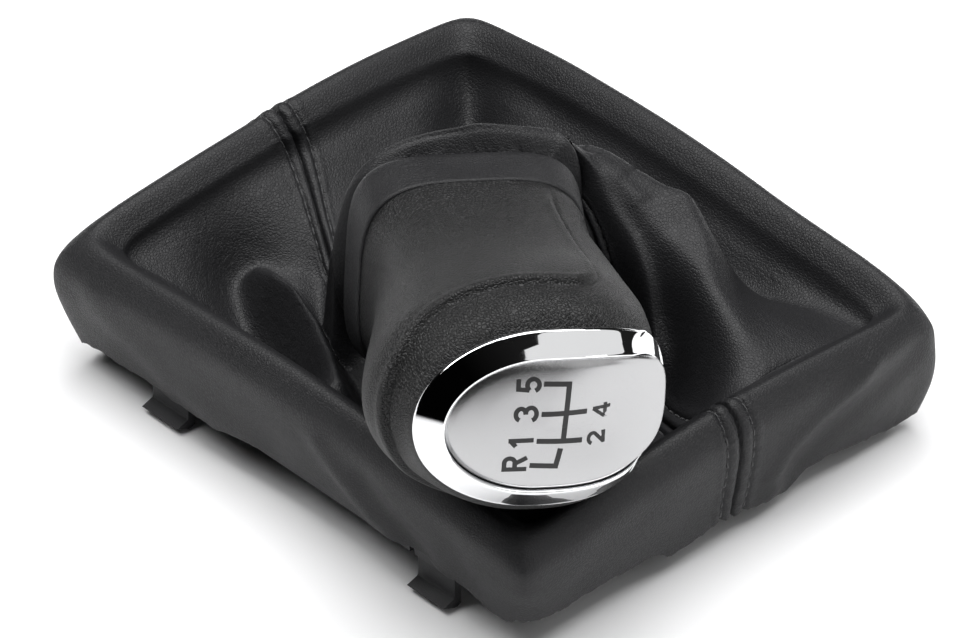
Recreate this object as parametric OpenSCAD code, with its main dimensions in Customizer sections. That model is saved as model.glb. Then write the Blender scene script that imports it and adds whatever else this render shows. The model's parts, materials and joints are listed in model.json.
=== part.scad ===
// Gear shift knob with its sewn leather gaiter, clipped on a rectangular console frame.
// The knob lies over on its side with its head above one corner of the frame, as it is
// when it is off the lever. Long sides run along X, the frame's hooks stand on z = 0.

/* [Frame] */
// Length between the crests of the two short sides
frame_length = 130; // [110:1:165]
// Width between the crests of the two long sides
frame_width = 107; // [90:1:130]
// Height of the leather's crest at the corners
crest_height = 30.6; // [29:0.2:34]
// Corner radius of the moulded bead
corner_radius = 7; // [6:0.5:9]
// Wall of the moulding
frame_wall = 1.8; // [1.4:0.1:2.2]
// Rise of the frame's edge in the middle of each side
crown = 3.2; // [1:0.1:4]

/* [Hooks] */
// Width of one snap hook
hook_width = 10.5; // [8:0.5:14]
// Distance of each hook from the middle of its long side
hook_offset = 39; // [30:1:45]
// How far the barb stands out of the tab
hook_barb = 3.1; // [2:0.1:4]

/* [Leather] */
// Thickness of the gaiter's leather
leather = 0.8; // [0.6:0.1:1]
// Squareness of the gaiter's outline at the frame
rim_squareness = 22; // [18:1:26]
// Lowest the gaiter sinks inside the frame
basin_height = 15; // [14.5:0.5:18]

/* [Knob] */
// Half of the grip's largest width
grip_half_width = 24.5; // [23:0.1:26]
// Reach of the grip's head to the front of the lever
grip_front = 32.4; // [30:0.1:34]
// Reach of the grip's head to the rear of the lever
grip_rear = 27.4; // [26:0.1:29]
// Height of the shift plate above the grip's foot
plate_height = 69.6; // [67:0.2:73]
// Depth of the step round the grip's raised panel
panel_step = 0.9; // [0.5:0.1:1.2]
// Wall of the grip's moulding
grip_wall = 2.8; // [2.2:0.1:3.2]

/* [Socket] */
// Radius of the hole for the lever
lever_radius = 6; // [5:0.5:7]
// Length of the hole for the lever
lever_length = 54; // [45:1:56]

/* [Pose] */
// Compass direction in which the knob lies over, from X towards Y
lean_direction = -31; // [-60:1:60]
// Angle of the lever's axis above the horizontal
lean_rise = 12.3; // [12:0.1:90]
// Twist of the knob about the lever's axis
knob_twist = -5.5; // [-20:0.5:20]
// Distance from the tilt axis to the grip's foot
pivot_reach = 24; // [20:1:30]

/* [Hidden] */
$fn = 64;

half_length = frame_length / 2;
half_width = frame_width / 2;
gap = 0.1;

// Point about which the knob tilts in its gaiter
pivot = [-9.9, -4.8, 39.2];

// Places in the knob are turned and moved to the place where it lies
function turn_z(p, a) = [p.x * cos(a) - p.y * sin(a), p.x * sin(a) + p.y * cos(a), p.z];
function turn_y(p, a) = [p.x * cos(a) + p.z * sin(a), p.y, p.z * cos(a) - p.x * sin(a)];
function from_knob(p) =
    pivot + turn_z(turn_y(turn_z(p, 180 + knob_twist) + [0, 0, pivot_reach], 90 - lean_rise), lean_direction);

module in_knob_place() {
    translate(pivot)
        rotate([0, 0, lean_direction])
            rotate([0, 90 - lean_rise, 0])
                translate([0, 0, pivot_reach])
                    rotate([0, 0, 180 + knob_twist])
                        children();
}

// A curve through four points, and rings of points made into solids
function cubic(a, b, c, d, f) =
    0.5 * (2 * b + (c - a) * f + (2 * a - 5 * b + 4 * c - d) * f * f + (3 * b - a - 3 * c + d) * f * f * f);
function limited(i, n) = min(max(i, 0), n - 1);
function along(list, t) =
    let (i = limited(floor(t), len(list) - 1), n = len(list))
    cubic(list[limited(i - 1, n)], list[i], list[i + 1], list[limited(i + 2, n)], t - i);
function around(list, x) =
    let (n = len(list), i = floor(x), f = x - i)
    cubic(list[(i - 1 + n) % n], list[i % n], list[(i + 1) % n], list[(i + 2) % n], f);
function flat(list) = [for (row = list) for (p = row) p];

// Rings joined one to the next, with the last joined to the first
module ring_of_rings(rings) {
    n = len(rings);
    m = len(rings[0]);
    faces = [for (i = [0:n - 1]) for (j = [0:m - 1])
        let (a = i * m + j, b = i * m + (j + 1) % m, c = ((i + 1) % n) * m + (j + 1) % m, d = ((i + 1) % n) * m + j)
        each [[a, b, c], [a, c, d]]];
    polyhedron(flat(rings), faces, convexity = 8);
}

// Rings joined one to the next, closed by a flat face at each end
module loft(rings) {
    n = len(rings);
    m = len(rings[0]);
    sides = [for (i = [0:n - 2]) for (j = [0:m - 1])
        let (a = i * m + j, b = i * m + (j + 1) % m, c = (i + 1) * m + (j + 1) % m, d = (i + 1) * m + j)
        each [[a, b, c], [a, c, d]]];
    ends = [[for (j = [m - 1:-1:0]) j], [for (j = [0:m - 1]) (n - 1) * m + j]];
    polyhedron(flat(rings), concat(sides, ends), convexity = 8);
}

// The grip, bezel and plate are lofted through oval stations. Each station holds: half width,
// its height, reach to the front, its height, reach to the rear, its height, and how square
// the oval is at the front and at the rear.
grip_steps = 44;
grip_angles = [for (i = [0:grip_steps - 1]) i * 360 / grip_steps];
function signed_power(v, n) = sign(v) * pow(abs(v), 2 / n);
function oval(st, t) =
    let (c = cos(t), s = sin(t), front = s >= 0, n = front ? st[6] : st[7],
        reach = front ? st[2] : st[4], end = front ? st[3] : st[5])
    [st[0] * signed_power(c, n), reach * signed_power(s, n), st[1] + (end - st[1]) * s * s];
function station_ring(st) = [for (t = grip_angles) oval(st, t)];
function inset(st, d, drop = 0) =
    [st[0] - d, st[1] - drop, st[2] - d, st[3] - drop, st[4] - d, st[5] - drop, st[6], st[7]];

hw = grip_half_width;
gf = grip_front;
gr = grip_rear;
foot_station = [21.9, 0, 23.2, 0, 22.6, 0, 3.4, 3.4];
seat_station = [18.8, 65, 25.4, 65.8, 26.8, 52.2, 2, 2.6];
shoulder_station = [hw, 49, gf, 52, gr, 44.5, 1.97, 2.6];
// Lower grip, from the foot to the shoulder of the raised panel
lower_stations = [
    foot_station,
    [21.6, 4, 22.5, 4, 23.1, 4, 3.3, 3.3],
    [21, 12, 22.2, 12, 24.1, 12, 3, 3.1],
    [21.2, 23, 24, 22, 25.7, 23, 2.7, 2.9],
    [22.5, 34, 27.2, 33, 26.8, 34, 2.4, 2.7],
    [hw - 0.5, 43, gf - 1.5, 44.5, gr - 0.1, 41.5, 2.05, 2.6],
    shoulder_station,
    [hw, 51.5, gf - 1, 55.4, gr, 45.4, 1.97, 2.6],
    [hw - 0.2, 52.8, gf - 3, 56.4, gr, 46.2, 1.97, 2.6]
];
// Recessed ring from the step to the bezel
upper_stations = [
    [hw - 1, 52.6, gf - 4, 55.8, gr - 0.1, 46.6, 2, 2.6],
    [hw - 0.8, 54.4, gf - 4.2, 57.4, gr - 0.2, 47.4, 2, 2.6],
    [hw - 1.1, 58.8, gf - 4.9, 60.9, gr - 0.3, 49.2, 2, 2.6],
    [hw - 2.7, 62.8, gf - 5.9, 64, gr - 0.4, 51, 2, 2.6],
    seat_station
];
inner_stations = [
    inset(seat_station, grip_wall),
    inset(upper_stations[2], grip_wall, 1),
    inset(shoulder_station, grip_wall + 0.6),
    inset(lower_stations[4], grip_wall),
    inset(lower_stations[2], grip_wall),
    inset(foot_station, grip_wall)
];

// The raised panel covers the front and the sides of the grip and ends behind the lever
panel_end = -14.4;
function panel(p) =
    let (k = min(max((p.y - panel_end) / 1.2 + 0.5, 0), 1), low = min(max((p.z - 3) / 8, 0), 1))
    panel_step * (k - 1) * low;
function stepped(p) =
    let (r = norm([p.x, p.y]), d = panel(p))
    [p.x * (r + d) / r, p.y * (r + d) / r, p.z];

module knob_grip() {
    outer = concat(
        [for (st = lower_stations) [for (p = station_ring(st)) stepped(p)]],
        [for (st = upper_stations) station_ring(st)]
    );
    inner = [for (st = inner_stations) station_ring(st)];
    color([0.13, 0.13, 0.135]) in_knob_place() ring_of_rings(concat(outer, inner));
}

module chrome_bezel() {
    top = plate_height;
    stations = [
        inset(seat_station, 0, -gap),
        [19, 65.8, 25.6, 66.6, 26.9, 53.1, 2, 2.7],
        [17.2, 68, 23.4, 68.6, 26.8, 55.6, 2, 2.8],
        [15.2, 69.1, 21, 69.7, 26.4, 57.4, 2, 2.9],
        [14, top - 0.5, 19.8, top, 26, 57.9, 2, 3],
        [14, top - 2.4, 19.8, top - 1.9, 25.8, 56, 2, 3],
        inset(seat_station, grip_wall, -gap)
    ];
    color([0.8, 0.81, 0.83])
        in_knob_place()
            ring_of_rings([for (st = stations) station_ring(st)]);
}

module shift_plate() {
    top = plate_height;
    edge = [14 - gap, top - 0.7, 19.8 - gap, top - 0.2, 26 - gap, 57.7, 2, 3];
    stations = [
        [0.2, top - 2.2, 0.2, top - 2.2, 0.2, top - 2.2, 2, 2],
        [9, top - 2.2, 12, top - 2.1, 17, top - 6.4, 2, 2.6],
        inset(edge, 0.4, 1.5),
        edge,
        [12.1, top - 0.4, 17.4, top, 23.4, 60.7, 2, 2.9],
        [8.4, top - 0.1, 11.6, top + 0.2, 16.4, 65.5, 2, 2.6],
        [3.8, top, 4.8, top + 0.2, 7.2, top - 0.7, 2, 2.2],
        [0.2, top + 0.1, 0.2, top + 0.1, 0.2, top + 0.1, 2, 2]
    ];
    color([0.72, 0.72, 0.73])
        in_knob_place()
            loft([for (st = stations) station_ring(st)]);
}

// The moulded core inside the grip: a tube for the sleeve, a foot flange and four ribs
core_radius = 11.5;
sleeve_radius = 8.5;
sleeve_bottom = -9;
core_top = 60;
flange_height = 2;
slot_width = 1.4;
slot_length = 14;

module core_rib(reach_out) {
    translate([0, -1, flange_height])
        cube([reach_out, 2, 40]);
}

module knob_core() {
    color([0.2, 0.2, 0.21])
        in_knob_place()
            difference() {
                union() {
                    cylinder(r = core_radius, h = core_top);
                    linear_extrude(flange_height)
                        polygon([for (t = grip_angles) let (p = oval(inset(foot_station, grip_wall + 1), t)) [p.x, p.y]]);
                    for (a = [0, 180]) rotate([0, 0, a]) core_rib(17.4);
                    rotate([0, 0, 90]) core_rib(18.2);
                    rotate([0, 0, -90]) core_rib(18.2);
                }
                translate([0, 0, sleeve_bottom])
                    cylinder(r = sleeve_radius, h = lever_length + 2);
            }
}

// The lever is pushed into this sleeve, whose slotted end is squeezed by a spring ring
module lever_sleeve() {
    color([0.55, 0.56, 0.58])
        in_knob_place()
            translate([0, 0, sleeve_bottom])
                difference() {
                    cylinder(r = sleeve_radius, h = lever_length + 2);
                    translate([0, 0, -1])
                        cylinder(r = lever_radius, h = lever_length + 1);
                    for (a = [30:120:270])
                        rotate([0, 0, a])
                            translate([0, -slot_width / 2, -1])
                                cube([sleeve_radius + 1, slot_width, slot_length]);
                    translate([0, 0, 2.5])
                        difference() {
                            cylinder(r = sleeve_radius + 1, h = 1.8);
                            cylinder(r = sleeve_radius - 0.8, h = 1.8);
                        }
                }
}

module sleeve_ring() {
    ring_gap = 40;
    color([0.7, 0.71, 0.73])
        in_knob_place()
            translate([0, 0, sleeve_bottom + 2.6])
                rotate([0, 0, 70])
                    rotate_extrude(angle = 360 - ring_gap)
                        translate([sleeve_radius - 0.8, 0])
                            square([1.5, 1.6]);
}

// The collar inside the leather cuff, and the strap that ties the leather behind it
collar_half = [20.7, 21.5, 21.8];
collar_squareness = 4.2;
collar_length = 7.6;
collar_wall = 2.2;
neck_length = 12;
neck_depth = 2.6;
strap_height = 1.4;
strap_thickness = 0.9;
function collar_outline(d, n = collar_squareness) =
    let (st = [collar_half[0] + d, 0, collar_half[1] + d, 0, collar_half[2] + d, 0, n, n])
    [for (t = grip_angles) let (p = oval(st, t)) [p.x, p.y]];

module gaiter_collar() {
    color([0.09, 0.09, 0.095])
        in_knob_place()
            difference() {
                translate([0, 0, -collar_length - 0.4])
                    linear_extrude(collar_length)
                        polygon(collar_outline(0));
                translate([0, 0, -collar_length - 1])
                    linear_extrude(collar_length - 1.4)
                        polygon(collar_outline(-collar_wall));
                translate([0, 0, -collar_length - 1])
                    cylinder(r = core_radius, h = collar_length + 2);
            }
}

module neck_strap() {
    inside = 1.5 - neck_depth + 0.4;
    color([0.05, 0.05, 0.05])
        in_knob_place()
            translate([0, 0, -neck_length - strap_height / 2])
                difference() {
                    linear_extrude(strap_height) polygon(collar_outline(inside + strap_thickness));
                    translate([0, 0, -1])
                        linear_extrude(strap_height + 2) polygon(collar_outline(inside));
                }
}

// The frame's section: a hollow round bead, a long outer wall with draft and a short inner
// wall, with a channel between them that is open below
bead_height = crest_height - 4.5;
bead_radius = 2.7;
wall_foot = 8;
wall_foot_out = 0.6;
inner_wall_foot = 19;

module rim_section() {
    bore = bead_radius - frame_wall;
    difference() {
        union() {
            translate([0, bead_height])
                circle(r = bead_radius);
            polygon([[bead_radius, bead_height], [wall_foot_out, wall_foot],
                [wall_foot_out - frame_wall, wall_foot], [bore - 0.1, bead_height]]);
            translate([-bead_radius, inner_wall_foot])
                square([frame_wall, bead_height - inner_wall_foot]);
        }
        translate([0, bead_height])
            circle(r = bore);
        polygon([[bore, bead_height], [bore - 0.6, bead_height - bead_radius - 1],
            [-bore, bead_height - bead_radius - 1], [-bore, bead_height]]);
    }
}

module rim_side(long, out) {
    translate([0, out, 0])
        rotate([90, 0, 90])
            linear_extrude(long, center = true)
                rim_section();
}

// A raised blade on the bead gives each side its gentle crown
module rim_crown(long, out) {
    rise = crown - 0.5;
    sweep = (long * long / 4 + rise * rise) / (2 * rise);
    top = bead_height + bead_radius + rise;
    translate([0, out + frame_wall / 2, 0])
        rotate([90, 0, 0])
            linear_extrude(frame_wall)
                intersection() {
                    translate([0, top - sweep]) circle(r = sweep, $fn = 360);
                    translate([-long / 2, bead_height + bead_radius - 1]) square([long, rise + 1]);
                }
}

module rim_corner(x, y, turn) {
    translate([x, y, 0])
        rotate([0, 0, turn])
            rotate_extrude(angle = 90)
                translate([corner_radius, 0])
                    rim_section();
}

// A rib across the hollow of the rim
module rim_rib(x, out) {
    translate([x - 0.75, out - bead_radius + 0.5, inner_wall_foot + 1])
        cube([1.5, 2 * bead_radius - 2.2, bead_height - inner_wall_foot - 1]);
}

// A spring tab below the wall with a barb along its foot
module snap_hook(x, out) {
    face = -0.3;
    translate([x - hook_width / 2, out, 0])
        rotate([90, 0, 90])
            linear_extrude(hook_width)
                polygon([[face - frame_wall, 0.5], [face - 0.8, 0], [face, 0.1], [face + hook_barb, 1.4],
                    [face + 0.2, 2.3], [face, 3], [face, wall_foot], [face + 1, wall_foot + 2],
                    [face + 1.4, wall_foot + 6], [face + 1.4 - frame_wall, wall_foot + 6], [face - frame_wall, wall_foot]]);
}

module frame_half() {
    straight_x = frame_length - 2 * corner_radius;
    straight_y = frame_width - 2 * corner_radius;
    slot = 1.4;
    difference() {
        union() {
            rim_side(straight_x, half_width);
            rim_crown(straight_x, half_width);
            for (x = [-52:26:52]) rim_rib(x, half_width);
        }
        for (x = [-hook_offset, hook_offset]) for (side = [-1, 1])
            translate([x + side * (hook_width + slot) / 2 - slot / 2, half_width - 2.6, wall_foot - 1])
                cube([slot, 6, 8]);
    }
    rotate([0, 0, -90]) {
        rim_side(straight_y, half_length);
        rim_crown(straight_y, half_length);
        for (x = [-39:26:39]) rim_rib(x, half_length);
    }
    rim_corner(half_length - corner_radius, half_width - corner_radius, 0);
    rim_corner(-half_length + corner_radius, half_width - corner_radius, 90);
    for (x = [-hook_offset, hook_offset]) snap_hook(x, half_width);
}

module gaiter_frame() {
    color([0.07, 0.07, 0.075]) {
        frame_half();
        rotate([0, 0, 180]) frame_half();
    }
}

// The gaiter's outer face. The place round the frame is counted in sides: 0 is the corner
// under the knob's head, 0.5 the middle of the short side next to it, and so on to 4.
corner_bulge = 0.7;
function turned(u) = u - 4 * floor(u / 4);
function side_share(u) = 2 * (u - floor(u)) - 1;
function square_point(u) =
    let (v = turned(u), side = floor(v), k = side_share(v),
        p = side == 0 ? [1, k] : side == 1 ? [-k, 1] : side == 2 ? [-1, -k] : [k, -1],
        r = pow(pow(abs(p.x), rim_squareness) + pow(abs(p.y), rim_squareness), 1 / rim_squareness))
    p / r;
function side_crown(u) = let (k = side_share(u)) crown * pow(1 - k * k, 1.4);
function share(v, low, high) = min(max((v - low) / (high - low), 0), 1);
function at_rim(u, out, z) =
    let (p = square_point(u), d = out + corner_bulge * pow(side_share(u), 10) * share(z, 4, 20) * share(z, 30, 26))
    [(half_length + d) * p.x, (half_width + d) * p.y, z];

// Four places to a side, starting at the corner under the knob's head. Each holds: height of
// the inner slope's foot, share of the way in to the basin, basin height, how far the roll
// stands out of the neck and behind it, how far the leather is turned round the neck, and how
// steeply it hangs below the roll.
bh = basin_height;
fold_stations = [
    [23, 0.50, bh + 2, 0, 20, 0, 0.5],
    [23, 0.50, bh - 1, 0, 18, 35, 0],
    [24, 0.50, bh - 3, 2, 17, 65, 0],
    [30, 0.42, bh + 21, 6, 16, 72, 0],
    [25, 0.42, bh + 13, 6.5, 18, 64, 0],
    [24, 0.44, bh + 3, 6, 18, 52, 0],
    [25, 0.44, bh, 5, 17, 34, 0.3],
    [25, 0.44, bh + 2, 5, 17, 16, 0.8],
    [25, 0.42, bh + 3, 5, 17, 3, 1],
    [25, 0.45, bh + 4, 4, 17, 0, 1],
    [25, 0.52, bh + 5, 2, 17, 0, 1],
    [25, 0.60, bh + 3, 0.5, 17.5, 0, 1],
    [24, 0.66, bh, 0, 17.5, 0, 1],
    [22, 0.68, bh - 2, 0.5, 17.5, 0, 1],
    [22, 0.62, bh - 2, 0.5, 17.5, 0, 1],
    [22, 0.50, bh + 1, 0.5, 18, 0, 0.8]
];
// Height of the raw hem, four places to a side
hem_heights = [7.5, 8.2, 6.3, 5.8, 5, 5, 5, 5, 5, 5, 5, 5, 6.3, 6.8, 9.8, 10.8];
// Ridges and valleys of the loose leather: width, the most it lifts or sinks the leather,
// the height above which it leaves the leather alone, and the points of its line
fold_lines = [
    [8, 18, 90, [[6, 24, 58], [16.1, 26, 55], [24, 26, 50], [31.8, 23.9, 44], [40, 20.3, 39], [52, 19.9, 34],
        [62, 18, 31]]],
    [7, 9, 40, [[20, 8, 12], [35, 6, 12], [48, 2, 14]]],
    [9, 30, 36, [[-46, -25, 10], [-37, -30, 8], [-27, -34, 8], [-15, -41, 12]]],
    [6, 30, 36, [[-38, -14, 13], [-27, -22, 11], [-16, -31, 12]]],
    [4.4, 30, 36, [[-45.8, -22.9, 18], [-39, -25, 22], [-31.4, -26.8, 23.5], [-20.3, -31, 23.5], [-10.2, -36.5, 24.5],
        [-1, -43, 26]]],
    [6, 9, 90, [[-61, 50, 22], [-52, 42, 11], [-42, 33, 15]]]
];

function at_neck(u, out, back) =
    let (p = square_point(u), turn = around(fold_stations, 4 * turned(u))[5],
        t = atan2(half_width * p.y, half_length * p.x) - lean_direction - 174.5 + turn,
        q = oval([22.2, 0, 23, 0, 23.3, 0, collar_squareness, collar_squareness], t),
        k = 1 + out / norm([q.x, q.y]))
    from_knob([q.x * k, q.y * k, -back]);

// Nearest point of a fold line: its distance in plan and its height
function on_segment(p, a, b) =
    let (d = [b.x - a.x, b.y - a.y], t = share(([p.x - a.x, p.y - a.y] * d) / (d * d), 0, 1),
        q = a + (b - a) * t)
    [norm([p.x - q.x, p.y - q.y]), q.z];
function nearest(list, i = 0) =
    i == len(list) - 1 ? list[i] : let (rest = nearest(list, i + 1)) list[i][0] <= rest[0] ? list[i] : rest;
function folded(p, mask, i = 0) =
    i == len(fold_lines) ? p :
    let (fold = fold_lines[i], line = fold[3],
        near = nearest([for (j = [0:len(line) - 2]) on_segment(p, line[j], line[j + 1])]),
        rise = near[1] - p.z,
        k = mask * soft(share(p.z, fold[2], fold[2] - 10)) * exp(-pow(near[0] / fold[0], 2)))
    folded([p.x, p.y, p.z + k * rise / sqrt(1 + pow(rise / fold[1], 2))], mask, i + 1);
function soft(v) = v * v * (3 - 2 * v);

function gaiter_column(u) =
    let (st = around(fold_stations, 4 * turned(u)), rise = side_crown(u), hang = st[6],
        hem = around(hem_heights, 4 * turned(u)), low_wall = (hem + 20) / 2,
        slope = at_rim(u, -8, st[0] + rise / 2),
        foot = at_neck(u, st[3] + 2, st[4] + 6),
        low = slope + (foot - slope) * st[1],
        basin = [low.x, low.y, st[2]],
        roll = at_neck(u, st[3], st[4]))
    [
        at_rim(u, 1.2 + (hem - 4) * 0.2, hem),
        at_rim(u, 2.9 + (low_wall - 12) * 0.17, low_wall),
        at_rim(u, 4.3, 20 + rise / 2),
        at_rim(u, 4.1, crest_height - 5 + rise),
        at_rim(u, 0.3, crest_height + rise),
        at_rim(u, -4.2, crest_height - 3 + rise),
        slope,
        basin,
        basin + [for (i = [0:2]) (roll - basin)[i] * (i == 2 ? 0.6 - 0.1 * hang : 0.6 + 0.2 * hang)],
        at_neck(u, st[3], st[4] + 0.6),
        at_neck(u, st[3] * 0.8 + 1.2, st[4] / 2 + 6),
        at_neck(u, -neck_depth, neck_length + 1.2),
        at_neck(u, -neck_depth, neck_length - 1.2),
        at_neck(u, 0.2, 9),
        at_neck(u, 0, 4.5),
        at_neck(u, 0, 0.5)
    ];
function gaiter_point(column, t) = folded(along(column, t), soft(share(t, 5.2, 6.6)) * soft(share(t, 9.4, 7.8)));

// Places along each column, closer over the crest, the folds and the roll
column_places = [0, 1, 2, 3, 3.3, 3.6, 4, 4.5, 5, 5.5, each [6:0.25:8], 8.5, each [9:0.3:10.2],
    each [10.6:0.4:11.4], 12, 12.5, 13, 15];
// Places from seam to seam in half sides, closer at the seams, the corners and the folds
seam_places = [0, 0.02, 0.05, 0.1, 0.15, 0.2, 0.26, 0.32, 0.38, 0.42, 0.455, 0.48];
folds_after_corner = [each [0.5, 0.52, 0.545], each [0.575:0.03:0.755], each [0.79:0.035:0.86], each [0.9:0.04:1.1],
    1.15, 1.21, 1.28, 1.35, 1.42, 1.455, 1.48, 1.5];
plain_after_corner = [0.5, 0.52, 0.545, 0.58, 0.63, 0.69, 0.76, 0.84, 0.92, 1, 1.08, 1.16, 1.24, 1.31, 1.37, 1.42, 1.455,
    1.48, 1.5];
function mirrored(list) = [for (i = [len(list) - 1:-1:0]) 2 - list[i]];
function panel_places(middle) = concat(seam_places, middle, mirrored(seam_places));

module gaiter_panel(start, places) {
    shares = concat([-0.015], places, [2.015]);
    grid = [for (s = shares) let (column = gaiter_column(start + s))
        [for (t = column_places) gaiter_point(column, t)]];
    n = len(shares) - 2;
    m = len(column_places);
    outer = [for (i = [1:n]) [for (j = [0:m - 1]) grid[i][j]]];
    inner = [for (i = [1:n]) [for (j = [0:m - 1])
        let (a = grid[i + 1][j] - grid[i - 1][j], b = grid[i][min(j + 1, m - 1)] - grid[i][max(j - 1, 0)],
            c = cross(a, b))
        grid[i][j] - leather * c / norm(c)]];
    total = n * m;
    skins = [for (i = [0:n - 2]) for (j = [0:m - 2])
        let (a = i * m + j, b = a + 1, c = a + m + 1, d = a + m)
        each [[a, b, c], [a, c, d], [total + a, total + c, total + b], [total + a, total + d, total + c]]];
    hem_and_cuff = [for (i = [0:n - 2]) for (j = [0, m - 1])
        let (a = i * m + j, d = a + m)
        each j == 0 ? [[a, d, total + d], [a, total + d, total + a]] : [[a, total + d, d], [a, total + a, total + d]]];
    seams = [for (i = [0, n - 1]) for (j = [0:m - 2])
        let (a = i * m + j, b = a + 1)
        each i == 0 ? [[a, total + b, b], [a, total + a, total + b]] : [[a, b, total + b], [a, total + b, total + a]]];
    polyhedron(concat(flat(outer), flat(inner)), concat(skins, hem_and_cuff, seams), convexity = 12);
}

module gaiter_panel_right() {
    color([0.1, 0.1, 0.12]) gaiter_panel(0.5, panel_places(plain_after_corner));
}

module gaiter_panel_left() {
    color([0.1, 0.1, 0.12]) gaiter_panel(2.5, panel_places(folds_after_corner));
}

gaiter_frame();
gaiter_panel_left();
gaiter_panel_right();
gaiter_collar();
neck_strap();
knob_grip();
knob_core();
lever_sleeve();
sleeve_ring();
chrome_bezel();
shift_plate();
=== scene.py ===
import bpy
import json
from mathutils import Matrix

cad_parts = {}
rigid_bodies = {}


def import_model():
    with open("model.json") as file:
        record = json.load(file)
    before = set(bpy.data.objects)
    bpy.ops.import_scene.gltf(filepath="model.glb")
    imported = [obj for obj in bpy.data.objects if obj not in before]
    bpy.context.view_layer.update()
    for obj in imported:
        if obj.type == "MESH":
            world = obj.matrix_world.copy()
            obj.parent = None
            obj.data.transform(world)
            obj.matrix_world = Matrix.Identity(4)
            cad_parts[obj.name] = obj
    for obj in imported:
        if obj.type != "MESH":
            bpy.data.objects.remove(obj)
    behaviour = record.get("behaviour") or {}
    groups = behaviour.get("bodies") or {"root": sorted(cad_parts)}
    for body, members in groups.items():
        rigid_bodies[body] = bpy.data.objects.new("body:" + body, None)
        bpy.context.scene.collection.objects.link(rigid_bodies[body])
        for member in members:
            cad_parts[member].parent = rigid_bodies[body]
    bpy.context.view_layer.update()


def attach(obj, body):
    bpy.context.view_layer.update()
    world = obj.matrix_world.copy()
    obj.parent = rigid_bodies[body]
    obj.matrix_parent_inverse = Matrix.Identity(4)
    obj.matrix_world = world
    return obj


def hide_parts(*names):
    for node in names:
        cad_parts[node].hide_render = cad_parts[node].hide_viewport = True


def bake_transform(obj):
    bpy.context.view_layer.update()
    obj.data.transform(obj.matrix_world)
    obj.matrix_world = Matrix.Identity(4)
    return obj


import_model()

import json
import math
import bpy
import numpy as np
from mathutils import Matrix, Vector

MM = 0.001

# camera, fitted to the photograph
AZIMUTH, ELEVATION, DISTANCE = math.radians(46.69), math.radians(38.14), 2.8
LENS, SENSOR = 517.65, 36.0
PICTURE_WIDTH, PICTURE_HEIGHT = 960, 638
FOCAL_PIXELS = LENS / SENSOR * PICTURE_WIDTH
TARGET = np.array([-0.01961, 0.01389, 0.0])
BACK = np.array([math.sin(AZIMUTH) * math.cos(ELEVATION), -math.cos(AZIMUTH) * math.cos(ELEVATION),
                 math.sin(ELEVATION)])
RIGHT = np.array([math.cos(AZIMUTH), math.sin(AZIMUTH), 0.0])
UP = np.cross(BACK, RIGHT)


def place_camera():
    camera = bpy.data.cameras.new("camera")
    camera.lens = LENS
    camera.sensor_width = SENSOR
    camera.clip_start, camera.clip_end = 0.1, 30.0
    ob = bpy.data.objects.new("camera", camera)
    bpy.context.collection.objects.link(ob)
    placed = Matrix.Identity(4)
    for r in range(3):
        placed[r][0], placed[r][1], placed[r][2] = RIGHT[r], UP[r], BACK[r]
        placed[r][3] = TARGET[r] + BACK[r] * DISTANCE
    ob.matrix_world = placed
    bpy.context.scene.camera = ob


place_camera()

# dimensions in mm, as in the part's source
HALF_LENGTH, HALF_WIDTH, CREST, CROWN, LEATHER = 65.0, 53.5, 30.6, 3.2, 0.85
SQUARE, BULGE = 22.0, 0.7
LEAN, RISE, TWIST, REACH = -31.0, 12.3, -5.5, 24.0
PIVOT = np.array([-9.9, -4.8, 39.2])
NECK_LENGTH, NECK_DEPTH, COLLAR_SQUARENESS = 12.0, 2.6, 4.2


def turn_z(p, a):
    c, s = math.cos(math.radians(a)), math.sin(math.radians(a))
    return np.stack([p[..., 0] * c - p[..., 1] * s, p[..., 0] * s + p[..., 1] * c, p[..., 2]], -1)


def turn_y(p, a):
    c, s = math.cos(math.radians(a)), math.sin(math.radians(a))
    return np.stack([p[..., 0] * c + p[..., 2] * s, p[..., 1], p[..., 2] * c - p[..., 0] * s], -1)


def from_knob(p):
    """From the knob's own axes, with z along the neck, to the frame's."""
    return PIVOT + turn_z(turn_y(turn_z(p, 180 + TWIST) + [0, 0, REACH], 90 - RISE), LEAN)


def cubic(a, b, c, d, f):
    """The smooth curve through a, b, c and d, at the share f of the way from b to c."""
    bend = 2 * a - 5 * b + 4 * c - d
    twist = 3 * b - a - 3 * c + d
    return 0.5 * (2 * b + (c - a) * f + bend * f * f + twist * f ** 3)


def periodic(vals, x):
    """The closed smooth curve through the values, at the places x."""
    n = len(vals)
    i = np.floor(x).astype(int)
    return cubic(vals[(i - 1) % n], vals[i % n], vals[(i + 1) % n], vals[(i + 2) % n], x - i)


def soft(v):
    """A step from 0 to 1 with soft ends."""
    v = np.clip(v, 0, 1)
    return v * v * (3 - 2 * v)


def oval(t, a, front, rear, n):
    """A squared oval with its own reach to the front and to the rear."""
    c, s = np.cos(t), np.sin(t)
    y = np.where(s >= 0, front, rear)
    return np.sign(c) * a * np.abs(c) ** (2 / n), np.sign(s) * y * np.abs(s) ** (2 / n)


def add_mesh(name, verts, faces, smooth=True):
    """A mesh object from points in mm."""
    mesh = bpy.data.meshes.new(name)
    mesh.from_pydata([tuple(v) for v in np.asarray(verts) * MM], [], faces)
    mesh.update()
    mesh.validate()
    if smooth:
        mesh.polygons.foreach_set("use_smooth", [True] * len(mesh.polygons))
    ob = bpy.data.objects.new(name, mesh)
    bpy.context.collection.objects.link(ob)
    return ob


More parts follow.
